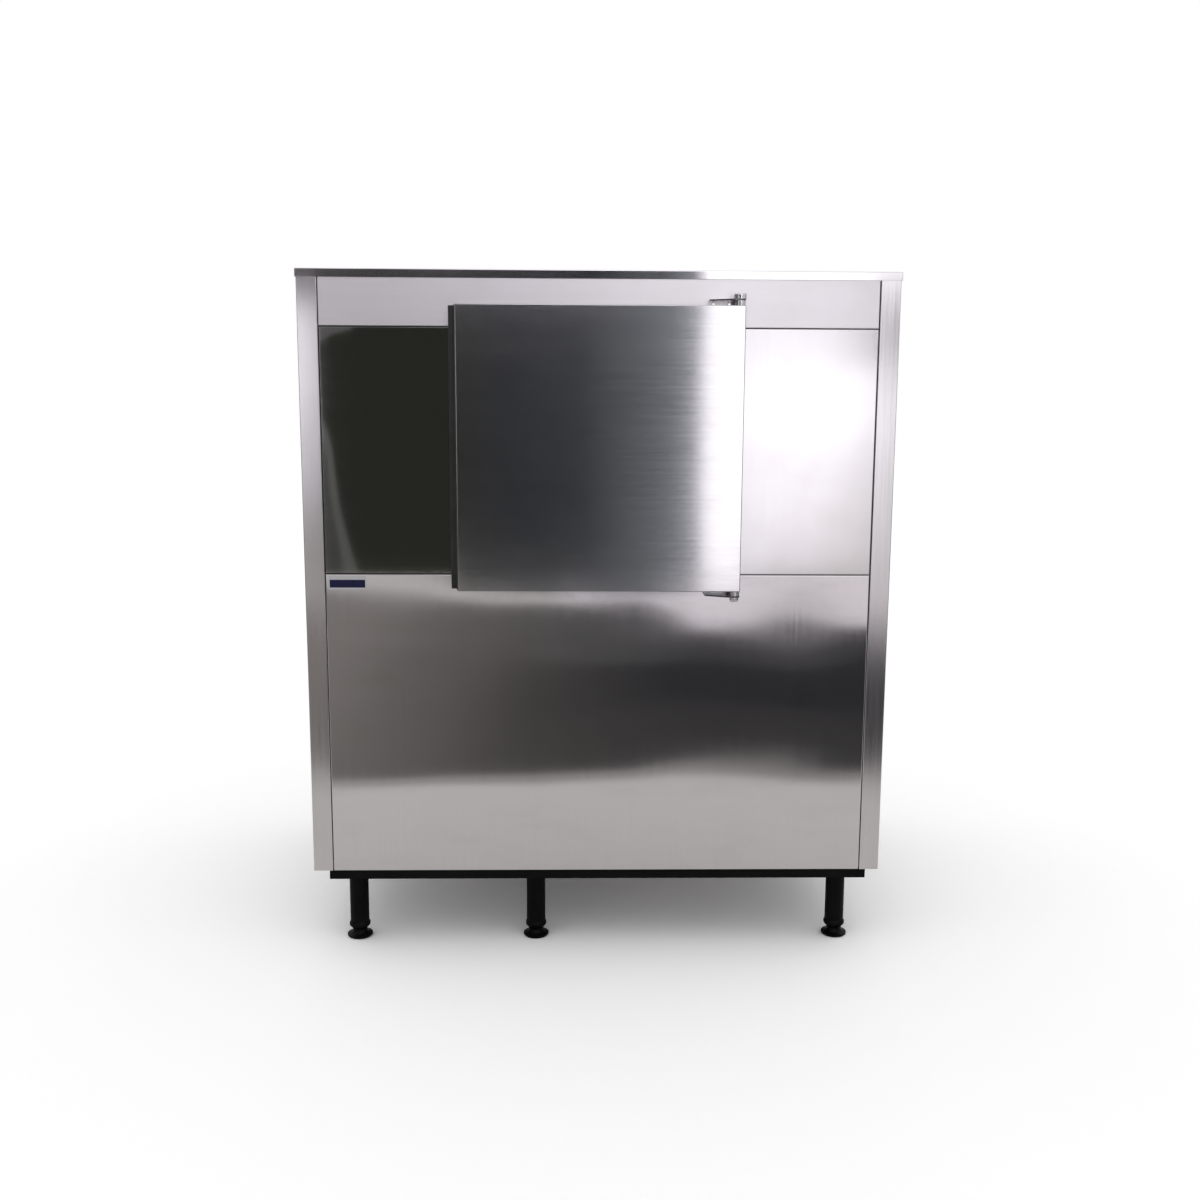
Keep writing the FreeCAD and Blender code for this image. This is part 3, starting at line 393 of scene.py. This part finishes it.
# outlines of the upright cards in X and Z, rearmost first, and the cloth on each
cardShapes = {
    "drape": ("drape", [(-2.60, 1.72), (-1.20, 1.72), (-1.20, 3.00), (-2.60, 3.00)]),
    "leftBox": ("leftBox", [(-1.85, 0.70), (-1.19, 0.70), (-1.19, 1.62), (-1.85, 1.62)]),
    "flag": ("flag", [(-1.19, 0.40), (0.52, 0.40), (0.50, 0.75), (0.50, 1.35), (0.525, 1.705),
                      (-1.19, 1.705)]),
    "flagFoot": ("flag", [(-0.60, 0.30), (0.48, 0.30), (0.48, 0.40), (-0.60, 0.40)]),
    "flagTop": ("flagTop", [(-1.75, 1.62), (-1.19, 1.62), (-1.19, 1.705), (0.49, 1.705), (0.49, 2.00),
                            (-1.75, 2.00)]),
    "window": ("window", [(0.515, 0.50), (0.70, 0.50), (0.70, 3.00), (0.525, 3.00), (0.525, 1.705),
                          (0.50, 1.35), (0.50, 0.75)]),
    "windowSide": ("windowSide", [(0.70, 0.44), (1.27, 0.44), (1.27, 3.00), (0.70, 3.00)]),
    "windowTop": ("window", [(1.27, 1.69), (2.20, 1.69), (2.20, 3.00), (1.27, 3.00)]),
    "windowBar": ("haze", [(1.29, 1.34), (1.90, 1.34), (1.90, 1.68), (1.29, 1.68)]),
    "windowFoot": ("windowFoot", [(0.52, 0.30), (0.71, 0.30), (0.71, 0.50), (0.515, 0.50)]),
    "ceiling": ("ceiling", [(-1.00, 2.02), (1.60, 2.02), (1.60, 3.20), (-1.00, 3.20)]),
    "sill": ("sill", [(-0.10, 0.10), (1.70, 0.10), (1.70, 0.36), (0.50, 0.36), (0.50, 0.30),
                      (-0.10, 0.30)]),
    "haze": ("haze", [(-1.19, 0.40), (-1.05, 0.40), (-1.12, 0.70), (-1.14, 0.95), (-1.19, 1.10)]),
    "corner": ("corner", [(-1.19, 1.36), (-1.16, 1.43), (-1.12, 1.462), (-1.02, 1.492), (-1.02, 1.52),
                          (-1.19, 1.52)]),
}
# bright line in the left panel's reflection: its two edges as places in X and Z
glintEdges = [[(-1.175, 1.13), (-1.130, 1.00), (-1.112, 0.86), (-1.093, 0.70), (-1.058, 0.54),
               (-1.018, 0.40)],
              [(-1.180, 1.07), (-1.150, 0.94), (-1.138, 0.80), (-1.123, 0.67), (-1.102, 0.53),
               (-1.085, 0.40)]]
# dark cloths in the lower panel's reflection: upper edge on the wall in X and Z, near edge on the floor
# in X and Y
skirtingTop = [(-2.40, 0.290), (-1.09, 0.280), (-0.57, 0.222), (-0.20, 0.250), (0.16, 0.284),
               (0.33, 0.268), (0.52, 0.152), (0.80, 0.158), (0.98, 0.235), (1.21, 0.162), (2.40, 0.162)]
matNear = [(-2.40, -1.690), (-0.77, -1.665), (-0.28, -1.620), (0.10, -1.665), (0.30, -1.760),
           (0.47, -1.803), (0.64, -1.768), (0.83, -1.655), (1.10, -1.640), (2.40, -1.640)]


# floor: pale and slightly mottled, a little brighter to the camera so that it ends in the white background
def floorMaterial(s):
    material, tree, shader = newMaterial("paleFloor")
    cloud = noise(tree, objectCoords(tree), s["floorCloud"], s["floorDetail"])
    shade = tuple(c * s["floorShade"] for c in s["floorColor"])
    plain = blendColor(tree, cloud, s["floorColor"], shade)
    path = addNode(tree, "ShaderNodeLightPath")
    seen = blendColor(tree, path.outputs["Is Camera Ray"], plain, s["floorSeen"])
    tree.links.new(seen, shader.inputs["Base Color"])
    setInputs(shader, Roughness=s["floorRough"], Specular_IOR_Level=0.0)
    return material


# glowing cloth whose shade runs through colours placed along one axis
def shadedCloth(name, axis, stops):
    material, tree, shader = newMaterial(name)
    tree.nodes.remove(shader)
    light = addNode(tree, "ShaderNodeEmission")
    ramp = addNode(tree, "ShaderNodeValToRGB")
    first, last = stops[0][0], stops[-1][0]
    along = spread(tree, coordinate(tree, axis), 0.0, 1.0, first, last)
    tree.links.new(along, ramp.inputs["Fac"])
    marks = ramp.color_ramp.elements
    for place, _ in stops[1:-1]:
        marks.new((place - first) / (last - first))
    for mark, (_, color) in zip(marks, stops):
        mark.color = (*color, 1.0)
    tree.links.new(ramp.outputs["Color"], light.inputs["Color"])
    tree.links.new(light.outputs["Emission"], tree.nodes["Material Output"].inputs["Surface"])
    return material


# points of a smooth line through the given places: cubic pieces whose slope at each place is half the way
# from the place before to the place after
def smoothLine(places, steps=8):
    p = np.array(places, dtype=float)
    q = np.vstack([2 * p[0] - p[1], p, 2 * p[-1] - p[-2]])
    t = np.linspace(0, 1, steps, endpoint=False)[:, None, None]
    a, b, c, d = q[:-3], q[1:-2], q[2:-1], q[3:]
    square, cube = a - 2.5 * b + 2 * c - 0.5 * d, 1.5 * (b - c) + 0.5 * (d - a)
    curve = b + 0.5 * t * (c - a) + t**2 * square + t**3 * cube
    return np.vstack([curve.transpose(1, 0, 2).reshape(-1, 2), p[-1:]])


def buildStage(s):
    half = s["floorHalf"]
    floor = [(-half, -half, 0), (half, -half, 0), (half, half, 0), (-half, half, 0)]
    card("floorPlane", floor, floorMaterial(s))
    cloth = {name: shadedCloth(name + "Cloth", *look) for name, look in cloths.items()}
    wide = s["matHalf"]
    for order, (kind, shift) in enumerate(s["matLayers"].items()):
        near = smoothLine(matNear) + (0.0, shift)
        shape = [(wide, s["matFar"]), (-wide, s["matFar"])] + near.tolist()
        z = s["matZ"] * (order + 1)
        onlyInGloss(card(kind + "Card", [(x, y, z) for x, y in shape], cloth[kind]))
    shapes = dict(cardShapes)
    shapes["skirting"] = ("skirting", [(wide, 0.0), (-wide, 0.0)] + smoothLine(skirtingTop).tolist())
    outer, inner = (smoothLine(edge) for edge in glintEdges)
    shapes["glint"] = ("glint", np.vstack([outer, inner[::-1]]).tolist())
    for order, (name, (kind, shape)) in enumerate(shapes.items()):
        y = s["cardY"] + s["cardGap"] * order
        onlyInGloss(card(name + "Card", [(x, y, z) for x, z in shape], cloth[kind]))
    reach, high, front = s["wallReach"], s["wallHigh"], s["cardY"] - s["cardGap"]
    corners = [(s["wallStart"], front), (-reach, front), (-reach, s["wallBreak"]), (-reach, reach),
               (reach, reach), (reach, front), (s["wallEnd"], front)]
    for i, ((x0, y0), (x1, y1)) in enumerate(zip(corners, corners[1:])):
        wall = [(x0, y0, 0), (x1, y1, 0), (x1, y1, high), (x0, y0, high)]
        onlyInGloss(card("wallCard.%d" % i, wall, cloth["darkWall" if i == 1 else "sideWall"]))


# even white light; the camera sees plain white, and the steel a shade of its own
def buildWorld(s):
    world = bpy.data.worlds.new("studio")
    bpy.context.scene.world = world
    world.use_nodes = True
    tree = world.node_tree
    plain = tree.nodes["Background"]
    plain.inputs["Color"].default_value = (*s["worldColor"], 1.0)
    plain.inputs["Strength"].default_value = s["worldLight"]
    white = addNode(tree, "ShaderNodeBackground")
    white.inputs["Color"].default_value = (1, 1, 1, 1)
    shine = addNode(tree, "ShaderNodeBackground")
    shine.inputs["Color"].default_value = (*s["worldGloss"], 1.0)
    path = addNode(tree, "ShaderNodeLightPath")
    forGloss = addNode(tree, "ShaderNodeMixShader")
    tree.links.new(path.outputs["Is Glossy Ray"], forGloss.inputs["Fac"])
    tree.links.new(plain.outputs["Background"], forGloss.inputs[1])
    tree.links.new(shine.outputs["Background"], forGloss.inputs[2])
    forCamera = addNode(tree, "ShaderNodeMixShader")
    tree.links.new(path.outputs["Is Camera Ray"], forCamera.inputs["Fac"])
    tree.links.new(forGloss.outputs["Shader"], forCamera.inputs[1])
    tree.links.new(white.outputs["Background"], forCamera.inputs[2])
    tree.links.new(forCamera.outputs["Shader"], tree.nodes["World Output"].inputs["Surface"])


buildStage(stageLook)
buildWorld(stageLook)
print("stage built")


# camera at the photograph's viewpoint; focal length is given in pixels of a 1200-pixel frame
cameraLook = {"place": (-0.0520, -2.9620, 1.1608), "yaw": 1.227, "pitch": 8.851, "roll": 0.286,
              "focal": 1246.2, "frame": 1200.0, "sensor": 36.0, "clipEnd": 200.0}


def placeCamera(s):
    yaw, pitch, roll = (math.radians(s[key]) for key in ("yaw", "pitch", "roll"))
    ahead = Vector((math.sin(yaw) * math.cos(pitch), math.cos(yaw) * math.cos(pitch), -math.sin(pitch)))
    right = Vector((math.cos(yaw), -math.sin(yaw), 0.0))
    up = right.cross(ahead)
    side = right * math.cos(roll) + up * math.sin(roll)
    top = up * math.cos(roll) - right * math.sin(roll)
    data = bpy.data.cameras.new("photoCamera")
    data.sensor_width = s["sensor"]
    data.lens = s["focal"] / s["frame"] * s["sensor"]
    data.clip_end = s["clipEnd"]
    obj = bpy.data.objects.new("photoCamera", data)
    bpy.context.scene.collection.objects.link(obj)
    turn = Matrix((side, top, -ahead)).transposed().to_4x4()
    obj.matrix_world = Matrix.Translation(Vector(s["place"])) @ turn
    bpy.context.scene.camera = obj


placeCamera(cameraLook)
bpy.context.scene.view_settings.view_transform = "Standard"
print("camera placed")
